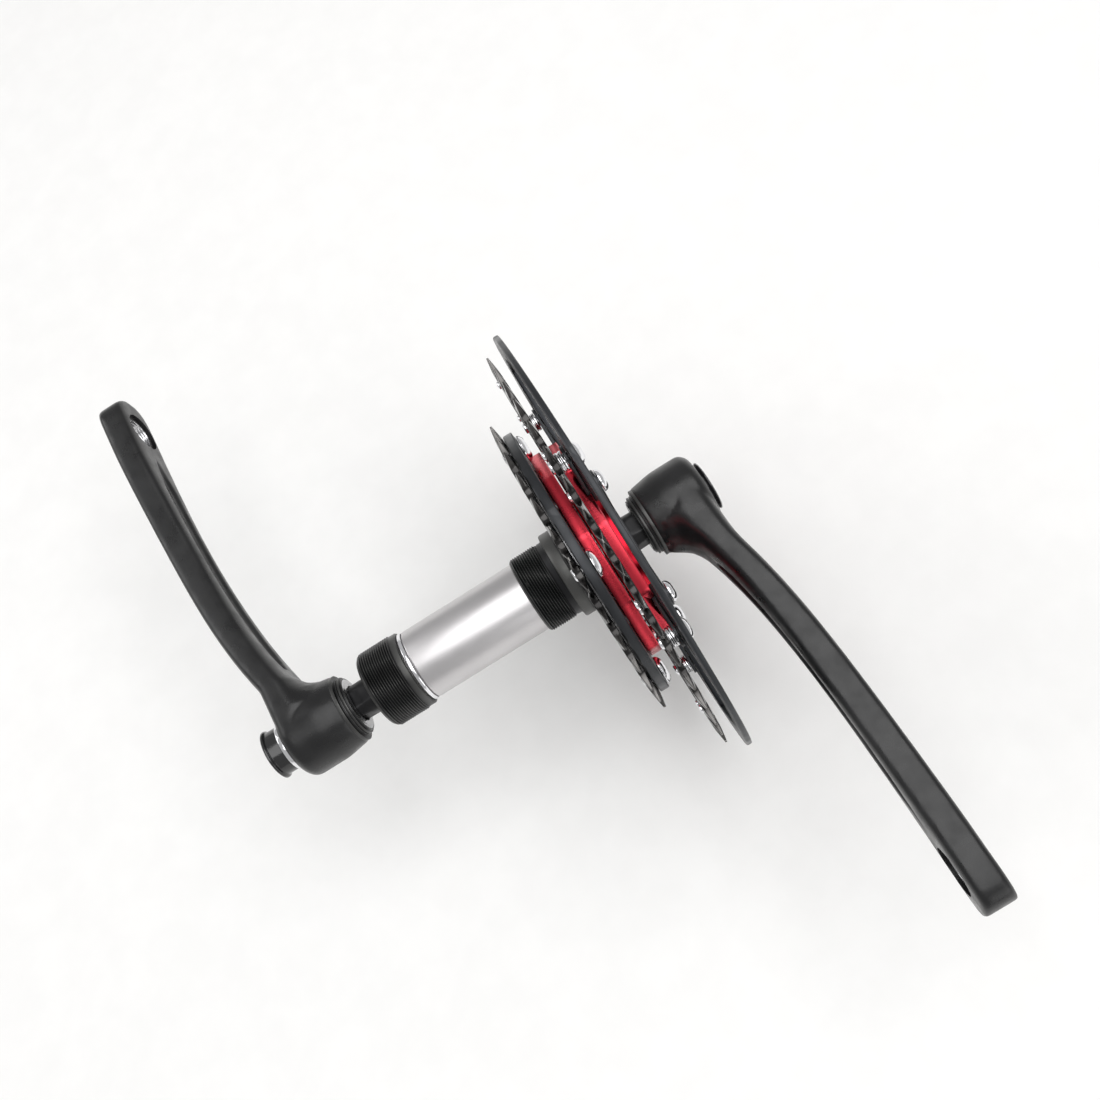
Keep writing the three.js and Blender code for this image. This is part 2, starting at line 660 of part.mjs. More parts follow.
function makeOuterPlate() {
  const { left, right, radius, bore } = outerPlate;
  const arms = spokes((angle) => strap(radius - 6, hubBoltCircle, tab.endRadius, angle, left, right));
  const centre = disc(bore, left - 1, right + 1, 24);
  return cut(union([disc(radius, left, right), ...arms]), [centre, ...hubBoltHoles(left - 1, right + 1)]);
}

// A button-head bolt along the spindle direction: its head stands on x = seat and it ends at x = end.
function buttonBolt(seat, end, headRadius, headHeight, circle, angle) {
  const shankRadius = 2.5;
  const dome = turned([
    [seat, 0],
    [seat, headRadius],
    [seat + 0.5 * headHeight, 0.85 * headRadius],
    [seat + headHeight, 0.4 * headRadius],
    [seat + headHeight, 0],
  ], 10, false);
  const { x, y } = polar(circle, angle);
  return dome.add(bar(end, seat + 0.1, shankRadius, 6)).translate([0, x, y]);
}

function addChainringSet() {
  addPart('chainring_32', chainring(ring32, carrier.boltCircle, carrierBoltAngle, 6), darkChrome);
  addPart('carrier_ring', makeCarrierRing(), blackAnodised);
  addPart('red_inner_hub_plate', makeInnerHub(), redAnodised);
  addPart('chainring_44', chainring(ring44, guardBoltCircle, spokeAngle, spokeHalfWidth), darkChrome);
  addPart('red_outer_hub_plate', makeOuterHub(), redAnodised);
  addPart('guard_ring', makeGuardRing(), blackAnodised);
  addPart('outer_plate', makeOuterPlate(), blackAnodised);
  const ring44Left = ring44.middle - ring44.thickness / 2;
  const ring44Right = ring44.middle + ring44.thickness / 2;
  spokes((angle, i) => {
    const number = i + 1;
    const { left, right, endRadius } = tab;
    const holes = [hubBoltCircle, guardBoltCircle].map((circle) =>
      pinAt(left - 1, right + 1, boltHoleRadius, circle, angle, 6));
    const link = strap(hubBoltCircle, guardBoltCircle, endRadius, angle, left, right);
    addPart(`guard_tab_${number}`, cut(link, holes), blackAnodised);
    const { x, y } = polar(guardBoltCircle, angle);
    const spacer = ring(ring44Right + gap, left - gap, boltHoleRadius, 4.2, 10);
    addPart(`spacer_sleeve_${number}`, spacer.translate([0, x, y]), chrome);
    const guardBolt = buttonBolt(guard.right + gap, ring44Left - 1, 4.8, 2.2, guardBoltCircle, angle);
    addPart(`guard_bolt_${number}`, guardBolt, chrome);
    const hubSeat = outerPlate.right + gap;
    const hubBolt = buttonBolt(hubSeat, carrier.left + 1.1, 4.8, 2.4, hubBoltCircle, angle);
    addPart(`hub_bolt_${number}`, hubBolt, chrome);
  });
  ringOf(spokeCount, carrierBoltAngle, (angle, i) => {
    const seat = carrier.right + gap;
    const end = ring32.middle - ring32.thickness / 2 - 0.8;
    const bolt = buttonBolt(seat, end, 6, 2.6, carrier.boltCircle, angle);
    addPart(`carrier_bolt_${i + 1}`, bolt, chrome);
  });
}

addBottomBracket();
addCranks();
addFreewheel();
addChainringSet();

export default group;
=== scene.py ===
"""Looks of the bicycle crankset, built round its CAD part and in the same frame.

X runs along the spindle towards the chainrings, Z is up, and the cranks lie along Y.
Sizes here are in millimetres and become metres where a mesh is made.
"""
import math
import bpy
import bmesh
from mathutils import Matrix, Vector


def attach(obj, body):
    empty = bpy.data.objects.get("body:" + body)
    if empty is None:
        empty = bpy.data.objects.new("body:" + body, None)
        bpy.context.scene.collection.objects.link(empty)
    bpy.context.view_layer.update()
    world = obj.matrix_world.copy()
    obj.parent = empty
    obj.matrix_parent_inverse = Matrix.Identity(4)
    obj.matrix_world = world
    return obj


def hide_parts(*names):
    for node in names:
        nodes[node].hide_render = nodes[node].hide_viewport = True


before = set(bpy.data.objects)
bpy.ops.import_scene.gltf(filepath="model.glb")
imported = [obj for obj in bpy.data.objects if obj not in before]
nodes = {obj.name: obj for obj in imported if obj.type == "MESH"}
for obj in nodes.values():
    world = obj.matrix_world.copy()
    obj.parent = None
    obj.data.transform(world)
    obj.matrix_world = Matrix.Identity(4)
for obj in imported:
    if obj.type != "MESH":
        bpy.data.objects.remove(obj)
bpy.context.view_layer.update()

MM = 0.001
TURN = 2 * math.pi
SPOKES = 5
SPOKE_ANGLE = math.radians(76.6)
CARRIER_BOLT_ANGLE = math.radians(112.4)
HUB_CORNER_ANGLE = math.radians(100.2)
THREAD_PITCH = 1.058
CHAIN_PITCH = 12.7
PEDAL_DISTANCE = 175
ARM_TIP = 193
ARM_HALF_THICKNESS = 6.7
EYE_HALF_WIDTH = 13.5
WAIST_HALF_WIDTH = 10.5
WAIST_DISTANCE = 105
BOSS_RADIUS = 17.3
COLLAR_LENGTH = 4
FILLET_RADIUS = 11
HUB_CIRCLE = 43
GUARD_CIRCLE = 65
CARRIER_CIRCLE = 55
BOLT_HOLE = 2.8
CORE = 0.06  # radius of the small end face that closes a turned shape on its axis
HUB_BORE = 24.3
CAP_RIM_RADIUS = 11.1
SOCKET_REACH = 6.5  # a cap's profile inside this radius is six-sided
FLOOR_HEIGHT = -98.4  # just under the guard ring
FLOOR_HALF = 3000

# side: which way the arm points along Y and its boss along X, where its collar ends, and its bend
RIGHT = dict(name="right", along=-1, outward=1, collar=38.4, boss=27.6,
             root=23.0, eye=34.4, bend=38, start=24, cap_stand=2.2, cap_lip=1.0, cap_barrel=10.2)
LEFT = dict(name="left", along=1, outward=-1, collar=-100.5, boss=28.6,
            root=28.4, eye=42.8, bend=50, start=30, cap_stand=9.6, cap_lip=1.4, cap_barrel=10.0)


# ------------------------------------------------------------------ meshes
def polar(radius, angle):
    return radius * math.cos(angle), radius * math.sin(angle)


def mesh_object(name, points, faces, sharp=35):
    mesh = bpy.data.meshes.new(name)
    mesh.from_pydata([[c * MM for c in p] for p in points], [], faces)
    tidy = bmesh.new()
    tidy.from_mesh(mesh)
    bmesh.ops.remove_doubles(tidy, verts=tidy.verts, dist=1e-6)
    bmesh.ops.recalc_face_normals(tidy, faces=tidy.faces)
    tidy.to_mesh(mesh)
    tidy.free()
    return linked(name, mesh, sharp)


def linked(name, mesh, sharp=35):
    mesh.shade_smooth()
    mesh.set_sharp_from_angle(angle=math.radians(sharp))
    obj = bpy.data.objects.new(name, mesh)
    bpy.context.scene.collection.objects.link(obj)
    return obj


def loft(name, rings, joined=False, sharp=35):
    """Skins rings of equally many points. A joined loft closes on itself, another gets end caps."""
    count = len(rings[0])
    points = [p for ring in rings for p in ring]
    last = len(rings) if joined else len(rings) - 1
    faces = []
    for i in range(last):
        a, b = i * count, (i + 1) % len(rings) * count
        for j in range(count):
            k = (j + 1) % count
            faces.append((a + j, a + k, b + k, b + j))
    if not joined:
        faces.append(tuple(range(count)))
        faces.append(tuple(range(len(points) - count, len(points))))
    return mesh_object(name, points, faces, sharp)


def eased(corners, reach, closed=True):
    """Rounds each corner of a 2-D outline, cutting up to reach from its two edges."""
    result = []
    for i, corner in enumerate(corners):
        if not closed and i in (0, len(corners) - 1):
            result.append(corner)
            continue
        here = Vector(corner)
        before = Vector(corners[i - 1]) - here
        after = Vector(corners[(i + 1) % len(corners)]) - here
        a = here + before.normalized() * min(reach, 0.45 * before.length)
        b = here + after.normalized() * min(reach, 0.45 * after.length)
        result += [tuple(a), tuple((a + 2 * here + b) / 4), tuple(b)]
    return result


def lathe(name, profile, segments=96, closed=True, ease=0.25, shape=None, at=(0, 0), sharp=35):
    """Turns [x, radius] points round a line along X. shape(x, radius, angle) may change a radius."""
    outline = eased([tuple(p) for p in profile], ease, closed) if ease else profile
    rings = []
    for x, radius in outline:
        ring = []
        for j in range(segments):
            angle = TURN * j / segments
            y, z = polar(shape(x, radius, angle) if shape else radius, angle)
            ring.append((x, y + at[0], z + at[1]))
        rings.append(ring)
    return loft(name, rings, joined=closed, sharp=sharp)


def circle(radius, centre=(0, 0), count=96):
    return [(centre[0] + radius * math.cos(TURN * i / count),
             centre[1] + radius * math.sin(TURN * i / count)) for i in range(count)]


def plate(name, outlines, left, right, ease=0.35):
    """A flat plate with rounded edges. The first outline is its rim and the others are holes."""
    curve = bpy.data.curves.new(name, "CURVE")
    curve.dimensions = "2D"
    curve.fill_mode = "BOTH"
    for outline in outlines:
        spline = curve.splines.new("POLY")
        spline.points.add(len(outline) - 1)
        for point, (y, z) in zip(spline.points, outline):
            point.co = (y * MM, z * MM, 0, 1)
        spline.use_cyclic_u = True
    curve.extrude = ((right - left) / 2 - ease) * MM
    curve.bevel_depth = ease * MM
    curve.bevel_resolution = 2
    curve.offset = -ease * MM
    drawn = bpy.data.objects.new(name, curve)
    mesh = bpy.data.meshes.new_from_object(drawn)
    bpy.data.objects.remove(drawn)
    turn = Matrix(((0, 0, 1, 0), (1, 0, 0, 0), (0, 1, 0, 0), (0, 0, 0, 1)))
    mesh.transform(Matrix.Translation(((left + right) / 2 * MM, 0, 0)) @ turn)
    return linked(name, mesh, 40)


def arc(radius, start, end, steps, centre=(0, 0)):
    angles = [start + (end - start) * i / steps for i in range(steps + 1)]
    return [(centre[0] + radius * math.cos(a), centre[1] + radius * math.sin(a)) for a in angles]


def fingered(radius, finger_circle, half_width, first_angle):
    """A round outline of that radius with five round-ended fingers that reach to another circle."""
    side = math.asin(half_width / radius)
    inward = finger_circle < radius
    outline = []
    for i in range(SPOKES):
        angle = first_angle + TURN * i / SPOKES
        following = angle + TURN / SPOKES
        tip = polar(finger_circle, angle)
        if inward:
            outline += arc(half_width, angle - math.pi / 2, angle - 1.5 * math.pi, 12, tip)
        else:
            outline += arc(half_width, angle - math.pi / 2, angle + math.pi / 2, 12, tip)
        outline += arc(radius, angle + side, following - side, 30)
    return eased(outline, 2.5)


def toothed(teeth):
    """A sprocket outline: round seats for the chain's rollers, straight flanks and narrow tips."""
    pitch_radius = CHAIN_PITCH / (2 * math.sin(math.pi / teeth))
    seat, tip_height, tip_half_width = 3.95, 3.5, 0.7
    outline = []
    for i in range(teeth):
        angle = CARRIER_BOLT_ANGLE + TURN * i / teeth
        out = Vector(polar(1, angle))
        across = Vector((-out.y, out.x))
        for k in range(-3, 4):
            turn = math.radians(20 * k)
            point = out * (pitch_radius - seat * math.cos(turn)) + across * seat * math.sin(turn)
            outline.append(tuple(point))
        middle = angle + math.pi / teeth
        out = Vector(polar(1, middle))
        across = Vector((-out.y, out.x))
        for side in (-1, 1):
            outline.append(tuple(out * (pitch_radius + tip_height) + across * side * tip_half_width))
    return outline


def thinned(ring, teeth):
    """Thins a sprocket's teeth towards their tips, on both sides."""
    pitch_radius = CHAIN_PITCH / (2 * math.sin(math.pi / teeth)) * MM
    low, high = pitch_radius - 3 * MM, pitch_radius + 3.5 * MM
    middle = sum(v.co.x for v in ring.data.vertices) / len(ring.data.vertices)
    for vertex in ring.data.vertices:
        radius = math.hypot(vertex.co.y, vertex.co.z)
        out = min(max((radius - low) / (high - low), 0), 1)
        vertex.co.x = middle + (vertex.co.x - middle) * (1 - 0.72 * out)
    return ring


def bolt_holes(circle_radius, first_angle, radius=BOLT_HOLE):
    return [circle(radius, polar(circle_radius, first_angle + TURN * i / SPOKES), 24)
            for i in range(SPOKES)]


def cut(obj, tool):
    """Takes the tool's solid out of the object and removes the tool."""
    modifier = obj.modifiers.new("cut", "BOOLEAN")
    modifier.operation = "DIFFERENCE"
    modifier.solver = "EXACT"
    modifier.object = tool
    apply_modifiers(obj)
    bpy.data.objects.remove(tool)


def apply_modifiers(obj):
    graph = bpy.context.evaluated_depsgraph_get()
    graph.update()
    mesh = bpy.data.meshes.new_from_object(obj.evaluated_get(graph))
    obj.modifiers.clear()
    obj.data = mesh


# ------------------------------------------------------------------ materials
def noise_node(tree, source, scale, detail=4):
    node = tree.nodes.new("ShaderNodeTexNoise")
    node.inputs["Scale"].default_value = scale
    node.inputs["Detail"].default_value = detail
    tree.links.new(source, node.inputs["Vector"])
    return node.outputs["Fac"]


def ranged(tree, value, low, high, to_low, to_high):
    node = tree.nodes.new("ShaderNodeMapRange")
    for name, number in zip(("From Min", "From Max", "To Min", "To Max"), (low, high, to_low, to_high)):
        node.inputs[name].default_value = number
    tree.links.new(value, node.inputs["Value"])
    return node.outputs["Result"]


def mixed(tree, factor, first, second):
    """A colour between two, each given as a colour or as another node's output."""
    node = tree.nodes.new("ShaderNodeMix")
    node.data_type = "RGBA"
    tree.links.new(factor, node.inputs["Factor"])
    for socket, colour in ((node.inputs[6], first), (node.inputs[7], second)):
        if isinstance(colour, tuple):
            socket.default_value = (*colour, 1)
        else:
            tree.links.new(colour, socket)
    return node.outputs[2]


def bumped(tree, height, strength, distance, normal=None):
    node = tree.nodes.new("ShaderNodeBump")
    node.inputs["Strength"].default_value = strength
    node.inputs["Distance"].default_value = distance * MM
    tree.links.new(height, node.inputs["Height"])
    if normal:
        tree.links.new(normal, node.inputs["Normal"])
    return node.outputs["Normal"]


def distance_from_axis(tree, place):
    """How far a point is from the object's own X axis, in metres, as a vector for 3-D noise."""
    flat = tree.nodes.new("ShaderNodeVectorMath")
    flat.operation = "MULTIPLY"
    flat.inputs[1].default_value = (0, 1, 1)
    tree.links.new(place, flat.inputs[0])
    length = tree.nodes.new("ShaderNodeVectorMath")
    length.operation = "LENGTH"
    tree.links.new(flat.outputs[0], length.inputs[0])
    apart = tree.nodes.new("ShaderNodeSeparateXYZ")
    tree.links.new(place, apart.inputs[0])
    joined = tree.nodes.new("ShaderNodeCombineXYZ")
    tree.links.new(apart.outputs[0], joined.inputs[0])
    tree.links.new(length.outputs["Value"], joined.inputs[1])
    return joined.outputs[0]


def surface(name, colour, light, roughness, metallic, grain=0.0, turning=0.0, edge_highlight=0.0,
            edge_highlight_tone=(0.5, 0.5, 0.5), coat=0.0, spread=0.1):
    """A metal, paint or moulding with grain, lathe marks, uneven gloss and painted highlights on its edges.

    colour and light are the two tones that it varies between, and edge_highlight_tone is the painted
    highlight tone on its convex edges.
    """
    material = bpy.data.materials.new(name)
    material.use_nodes = True
    tree = material.node_tree
    shader = tree.nodes["Principled BSDF"]
    place = tree.nodes.new("ShaderNodeTexCoord").outputs["Object"]
    blotches = noise_node(tree, place, 55)
    fine = noise_node(tree, place, 1400, 3)
    tone = mixed(tree, ranged(tree, blotches, 0.35, 0.65, 0, 1), colour, light)
    # painted highlight: convex edges, found by pointiness, are mixed towards a lighter tone
    if edge_highlight:
        edge = tree.nodes.new("ShaderNodeNewGeometry").outputs["Pointiness"]
        tone = mixed(tree, ranged(tree, edge, 0.515, 0.56, 0, edge_highlight), tone, edge_highlight_tone)
    tree.links.new(tone, shader.inputs["Base Color"])
    gloss = noise_node(tree, place, 130, 5)
    low, high = max(0.03, roughness - spread), roughness + spread
    tree.links.new(ranged(tree, gloss, 0.3, 0.7, low, high), shader.inputs["Roughness"])
    shader.inputs["Metallic"].default_value = metallic
    shader.inputs["Specular IOR Level"].default_value = 0.45
    shader.inputs["Coat Weight"].default_value = coat
    shader.inputs["Coat Roughness"].default_value = 0.12
    normal = bumped(tree, fine, 0.35, grain) if grain else None
    if turning:
        marks = noise_node(tree, distance_from_axis(tree, place), 2600, 2)
        normal = bumped(tree, marks, 0.4, turning, normal)
    if normal:
        tree.links.new(normal, shader.inputs["Normal"])
    return material


# each edge tone given here is a painted highlight on that finish's convex edges, with the pink one on the
# red parts among them
MATERIALS = {
    "black_crank": surface("black_paint", (0.006, 0.006, 0.0065), (0.011, 0.011, 0.0115), 0.33, 0.0,
                           grain=0.10, edge_highlight=0.25, edge_highlight_tone=(0.07, 0.07, 0.07)),
    "black_steel": surface("black_oxide", (0.016, 0.016, 0.017), (0.030, 0.030, 0.031), 0.40, 0.8,
                           turning=0.03, edge_highlight=0.4, edge_highlight_tone=(0.22, 0.22, 0.21)),
    "gloss_black_cap": surface("gloss_moulding", (0.010, 0.010, 0.011), (0.016, 0.016, 0.017), 0.16, 0.0,
                               grain=0.01, coat=0.4, spread=0.05),
    "satin_sleeve": surface("satin_steel", (0.60, 0.585, 0.59), (0.63, 0.615, 0.62), 0.38, 1.0,
                            turning=0.01, spread=0.03),
    "dark_chrome": surface("dark_plate", (0.028, 0.027, 0.027), (0.058, 0.056, 0.055), 0.20, 1.0,
                           grain=0.01, edge_highlight=0.3, edge_highlight_tone=(0.30, 0.29, 0.28), spread=0.07),
    "red_anodised": surface("red_anodising", (0.55, 0.003, 0.018), (0.64, 0.006, 0.026), 0.28, 1.0,
                            grain=0.004, edge_highlight=0.5, edge_highlight_tone=(0.86, 0.16, 0.20), spread=0.03),
    "black_anodised": surface("black_anodising", (0.014, 0.015, 0.018), (0.024, 0.026, 0.030), 0.36, 0.5,
                              grain=0.02, edge_highlight=0.35, edge_highlight_tone=(0.15, 0.155, 0.16)),
    "bright_chrome": surface("bright_plate", (0.80, 0.80, 0.82), (0.88, 0.88, 0.90), 0.10, 1.0,
                             grain=0.006, spread=0.04),
    "seal_rubber": surface("rubber", (0.012, 0.012, 0.012), (0.02, 0.02, 0.02), 0.7, 0.0, grain=0.05),
    "bearing_steel": surface("ground_steel", (0.46, 0.46, 0.47), (0.60, 0.60, 0.61), 0.22, 1.0,
                             turning=0.02, spread=0.06),
}


# ------------------------------------------------------------------ pieces
def piece(obj, body, slot, *replaced):
    """Gives a finished object its finish and its body, and hides the CAD nodes it stands for."""
    obj.data.materials.clear()
    obj.data.materials.append(MATERIALS[slot])
    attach(obj, body)
    if replaced:
        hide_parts(*replaced)
    return obj


def keep_node(name, slot, bevel=0.2):
    """A CAD node that stays: a better finish, and softened edges."""
    obj = nodes[name]
    for i in range(max(1, len(obj.material_slots))):
        if obj.material_slots:
            obj.material_slots[i].material = MATERIALS[slot]
    softened = obj.modifiers.new("soft_edges", "BEVEL")
    softened.width = bevel * MM
    softened.segments = 2
    softened.limit_method = "ANGLE"
    softened.angle_limit = math.radians(40)


def threaded(start, end, core, crest):
    """A radius function that winds a helical thread between two places along X."""
    def shape(x, radius, angle):
        if x < start or x > end or radius < core - 0.5:
            return radius
        phase = ((x - start) / THREAD_PITCH - angle / TURN) % 1
        fade = min(1, (x - start) / 0.8, (end - x) / 0.8)
        return radius + (crest - core) * (1 - abs(2 * phase - 1)) * fade
    return shape


def thread_stations(start, end, radius, per_turn=8):
    count = int((end - start) / THREAD_PITCH * per_turn)
    return [(start + (end - start) * i / count, radius) for i in range(count + 1)]


def bottom_bracket():
    bore, core, crest = 15.9, 16.75, 17.4
    drive = [(-15.6, bore), (-15.6, 16.2)] + thread_stations(-15.1, -2.7, core)
    drive += [(-2.4, 16.6), (-1.9, 16.9), (-0.5, 16.9), (0, 17.2), (0.3, 19.1), (0.9, 19.5), (4.8, 19.5),
              (5.5, 18.9), (5.5, 13.2), (4.9, 12.6), (3.4, 12), (-1.7, 12), (-1.7, bore)]
    cup = lathe("drive_cup_body", drive, 96, ease=0, shape=threaded(-15.1, -2.7, core, crest))
    piece(cup, "root", "black_steel", "drive_side_cup")
    left = [(-91.3, 12), (-91.3, 15.6), (-90.3, 16.7)] + thread_stations(-90.1, -75, core)
    left += [(-74.8, 16.9), (-72.4, 16.9), (-72, 16.5), (-72, 15.3), (-84.3, 15.3), (-84.3, 12)]
    cup = lathe("left_cup_body", left, 96, ease=0, shape=threaded(-90.1, -75, core, crest))
    piece(cup, "root", "black_steel", "left_cup")
    tube = [(-84, 14.7), (-84, 15), (-69.6, 15), (-69.6, 15.35), (-69.2, 15.6), (-2, 15.6), (-2, 14.7),
            (-10, 14.7), (-10, 13.6), (-76, 13.6), (-76, 14.7)]
    piece(lathe("sleeve_tube", tube, 128), "root", "satin_sleeve", "cartridge_sleeve")
    band = [(-71.7, 15.3), (-71.7, 15.7), (-71.2, 15.85), (-70.4, 15.85), (-69.9, 15.65), (-69.9, 15.3)]
    piece(lathe("sleeve_band", band, 128, ease=0.12), "root", "bright_chrome", "sleeve_retaining_ring")
    for name, start, end in (("drive", -1.2, 2.6), ("left", -90.2, -86.2)):
        seal = [(start, 8.3), (start, 11.7), (end, 11.7), (end, 10.6), (end - 0.6, 10.2),
                (end - 0.6, 9.4), (end, 9.0), (end, 8.3)]
        piece(lathe(f"{name}_seal_ring", seal, 72), "root", "seal_rubber", f"{name}_bearing_seal")
        keep_node(f"{name}_bearing_outer_race", "bearing_steel")
        keep_node(f"{name}_bearing_inner_race", "bearing_steel")


def ball_set(name, body, middle, path, radius, count, cage_half_width, node):
    """Round balls and their cage, joined in one object."""
    cage = lathe(name, [(middle - cage_half_width, path - 0.5), (middle - cage_half_width, path + 0.5),
                        (middle + cage_half_width, path + 0.5), (middle + cage_half_width, path - 0.5)], 72)
    joined = bmesh.new()
    joined.from_mesh(cage.data)
    for i in range(count):
        y, z = polar(path, TURN * i / count)
        place = Matrix.Translation((middle * MM, y * MM, z * MM))
        bmesh.ops.create_uvsphere(joined, u_segments=20, v_segments=12, radius=radius * MM, matrix=place)
    joined.to_mesh(cage.data)
    joined.free()
    cage.data.shade_smooth()
    piece(cage, body, "bearing_steel", node)


def square_radius(across_flats, radius, angle):
    """How far out a round bar reaches at an angle once four flats are cut on it."""
    return min(radius, across_flats / 2 / max(abs(math.cos(angle)), abs(math.sin(angle))))


def spindle():
    round_radius, wide, narrow, run_out = 8.0, 14.4, 12.9, 4

    def shape(x, radius, angle):
        if x > 0:
            past, length = x - (RIGHT["collar"] - run_out), 60 - RIGHT["collar"] + run_out
        else:
            past, length = LEFT["collar"] + run_out - x, 122 + LEFT["collar"] + run_out
        if past < -2 or radius < 7:
            return radius
        flats = wide + 0.8 * max(0, -past) + (narrow - wide) * max(0, past) / length
        return square_radius(flats, radius, angle)

    body = [(-98, 4), (-122, 4), (-122, 7.4), (-121.4, round_radius)]
    body += [(-121 + i, round_radius) for i in range(26)]
    body += [(-90, round_radius), (-60, 7.6), (-20, 7.6), (0, round_radius)]
    body += [(30 + i, round_radius) for i in range(30)]
    body += [(59.4, round_radius), (60, 7.4), (60, 4), (36, 4), (36, CORE), (-98, CORE)]
    made = lathe("spindle_shaft", body, 96, ease=0, shape=shape)
    piece(made, "spindle_and_cranks", "black_steel", "spindle")


def arm_offset(distance, side):
    along = min(max(distance, side["start"] - 8), 160)
    return side["eye"] - (side["eye"] - side["root"]) * math.exp(-(along - side["start"]) / side["bend"])


def smooth_step(value):
    t = min(max(value, 0), 1)
    return t * t * (3 - 2 * t)


def arm_half_width(distance):
    if distance < WAIST_DISTANCE:
        return BOSS_RADIUS + (WAIST_HALF_WIDTH - BOSS_RADIUS) * smooth_step(distance / WAIST_DISTANCE)
    swell = smooth_step((distance - WAIST_DISTANCE) / (PEDAL_DISTANCE - WAIST_DISTANCE))
    width = WAIST_HALF_WIDTH + (EYE_HALF_WIDTH - WAIST_HALF_WIDTH) * swell
    past = max(0, distance - (ARM_TIP - EYE_HALF_WIDTH)) / EYE_HALF_WIDTH
    return width * max(0, 1 - past ** 2.7) ** (1 / 2.7)


def soft_max(first, second, blend):
    return (first + second + math.hypot(first - second, blend)) / 2


def boss_fillet(distance, height, inner):
    """How far the arm's inner face dips towards the boss, at a place beside the boss's round wall."""
    reach = min(FILLET_RADIUS, inner - COLLAR_LENGTH - 1.2)
    past = math.hypot(distance, height) - BOSS_RADIUS + 0.5
    if past >= reach or distance < 6:
        return 0
    left = 1 - max(past, 0) / reach
    return reach * (1 - math.sqrt(1 - left ** 2))


def arm_section(distance, side):
    """A rounded rectangle across the arm, sharper at the eye than at the boss."""
    middle = arm_offset(distance, side)
    inner = middle - ARM_HALF_THICKNESS
    outer = soft_max(middle + ARM_HALF_THICKNESS, COLLAR_LENGTH + side["boss"] - 0.8, 1.2)
    squareness = 3.6 + 2.2 * smooth_step(distance / 120)
    half_width = max(arm_half_width(distance), 0.4)
    ring = []
    for i in range(48):
        c, s = polar(1, TURN * i / 48)
        across = math.copysign(abs(c) ** (2 / squareness), c)
        z = half_width * math.copysign(abs(s) ** (2 / squareness), s)
        offset = (inner + outer) / 2 + (outer - inner) / 2 * across
        if across < 0:
            offset += across * boss_fillet(distance, z, inner)
        ring.append((side["collar"] + side["outward"] * offset, side["along"] * distance, z))
    return ring


def arm_groove(side):
    """The tool for the groove on the arm's inner face: round near the boss, pointed near the eye."""
    rings = []
    for i in range(31):
        distance = 31 + (159 - 31) * i / 30
        blunt = min(1, (i + 0.4) / 2.2) ** 0.5
        pointed = min(1, (30 - i + 0.2) / 5)
        half_width, depth = 4.2 * blunt * pointed, 1.8 * min(1, pointed + 0.15)
        inner = side["collar"] + side["outward"] * (arm_offset(distance, side) - ARM_HALF_THICKNESS)
        y = side["along"] * distance
        floor, mouth = inner + side["outward"] * depth, inner - side["outward"] * 4
        rings.append([(mouth, y, -half_width * 1.9), (floor, y, -half_width * 0.75),
                      (floor, y, half_width * 0.75), (mouth, y, half_width * 1.9)])
    return loft("groove_tool", rings)


def bar_tool(start, end, radius, at=(0, 0)):
    low, high = sorted((start, end))
    return lathe("bar_tool", [(low, radius), (high, radius)], 64, closed=False, ease=0, at=at)


def crank_arm(side):
    out, collar = side["outward"], side["collar"]
    distances = [ARM_TIP * i / 70 for i in range(66)]
    distances += [ARM_TIP - 13.3 * (1 - i / 14) ** 2 for i in range(2, 15)]
    arm = loft("arm", [arm_section(d, side) for d in sorted(distances)])
    cut(arm, arm_groove(side))
    near, far = collar + out * COLLAR_LENGTH, collar + out * (COLLAR_LENGTH + side["boss"])
    wall = [(near, CORE), (near, 15.5), (near + out * 11, BOSS_RADIUS), (far - out * 3, BOSS_RADIUS),
            (far, 14.3), (far, CORE)]
    boss = lathe("boss", wall, 96, closed=False, ease=1.6)
    joined = bmesh.new()
    joined.from_mesh(arm.data)
    joined.from_mesh(boss.data)
    joined.to_mesh(arm.data)
    joined.free()
    bpy.data.objects.remove(boss)
    skin = arm.modifiers.new("skin", "REMESH")
    skin.mode = "VOXEL"
    skin.voxel_size = 0.65 * MM
    relaxed = arm.modifiers.new("relaxed", "SMOOTH")
    relaxed.iterations = 7
    apply_modifiers(arm)
    eye = (side["along"] * PEDAL_DISTANCE, 0)
    inner = collar + out * (arm_offset(PEDAL_DISTANCE, side) - ARM_HALF_THICKNESS)
    outer = inner + out * 2 * ARM_HALF_THICKNESS
    cut(arm, bar_tool(inner - out * 4, outer + out * 4, 7.5, eye))
    cut(arm, bar_tool(inner - out * 4, inner + out * 1.6, 9.8, eye))
    cut(arm, bar_tool(outer - out * 0.35, outer + out * 4, 11.0, eye))
    cut(arm, bar_tool(near - out * 4, far + out * 4, 8.3))
    cut(arm, bar_tool(far - out * 4, far + out * 4, 10.7))
    arm.name = f"{side['name']}_arm"
    arm.data.shade_smooth()
    arm.data.set_sharp_from_angle(angle=math.radians(38))
    piece(arm, "spindle_and_cranks", "black_crank", f"{side['name']}_crank_arm")
    pedal_thread(side, inner, outer, eye)
    collar_rings(side)


def pedal_thread(side, inner, outer, eye):
    out = side["outward"]
    low, high = sorted((inner + out * 1.7, outer - out * 0.5))
    pitch = 1.27

    def shape(x, radius, angle):
        if radius > 7.48:
            return radius
        return radius - 0.3 * (1 - abs(2 * (((x - low) / pitch - angle / TURN) % 1) - 1))

    count = int((high - low) / pitch * 8)
    profile = [(high, 7.5), (low, 7.5)] + [(low + (high - low) * i / count, 7.4) for i in range(count + 1)]
    made = lathe(f"{side['name']}_eye_thread", profile, 64, ease=0, shape=shape, at=eye)
    piece(made, "spindle_and_cranks", "bearing_steel")


